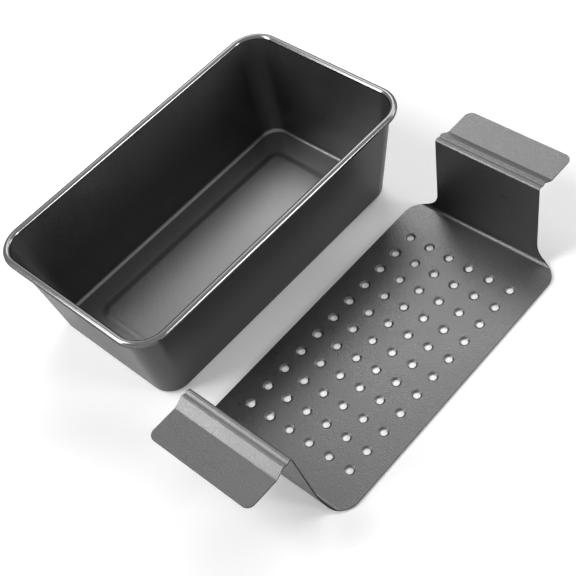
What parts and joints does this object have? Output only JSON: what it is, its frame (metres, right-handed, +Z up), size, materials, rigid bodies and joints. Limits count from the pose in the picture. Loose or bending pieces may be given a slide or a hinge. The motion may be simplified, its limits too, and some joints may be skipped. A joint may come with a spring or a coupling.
{
  "type": "meatloaf pan",
  "caption": "Rectangular loaf pan with sloping walls and a rolled, wired rim, beside its perforated drain insert with upright end walls and hook-over handles.",
  "frame": {"origin": "on the table, in the middle of the box round the pan and the insert that stands beside it", "axes": "+X along the pan and the insert, +Y from the insert to the pan, +Z up"},
  "size_m": [0.296, 0.263, 0.0769],
  "materials": {
    "pan_coating": "dark grey non-stick coating, smooth satin, on sheet steel",
    "rim_steel": "plain drawn wire, hidden in the rim",
    "insert_coating": "dark grey non-stick coating with a fine grain, on sheet steel"
  },
  "bodies": {
    "pan": {"pan_shell": "pan_coating", "rim_wire": "rim_steel"},
    "insert": {"insert_tray": "insert_coating"}
  },
  "joints": [
    {"name": "insert_lift", "type": "slide", "parent": "pan", "child": "insert", "axis": [0, 0, 1], "range_m": [0, 0.15]}
  ]
}
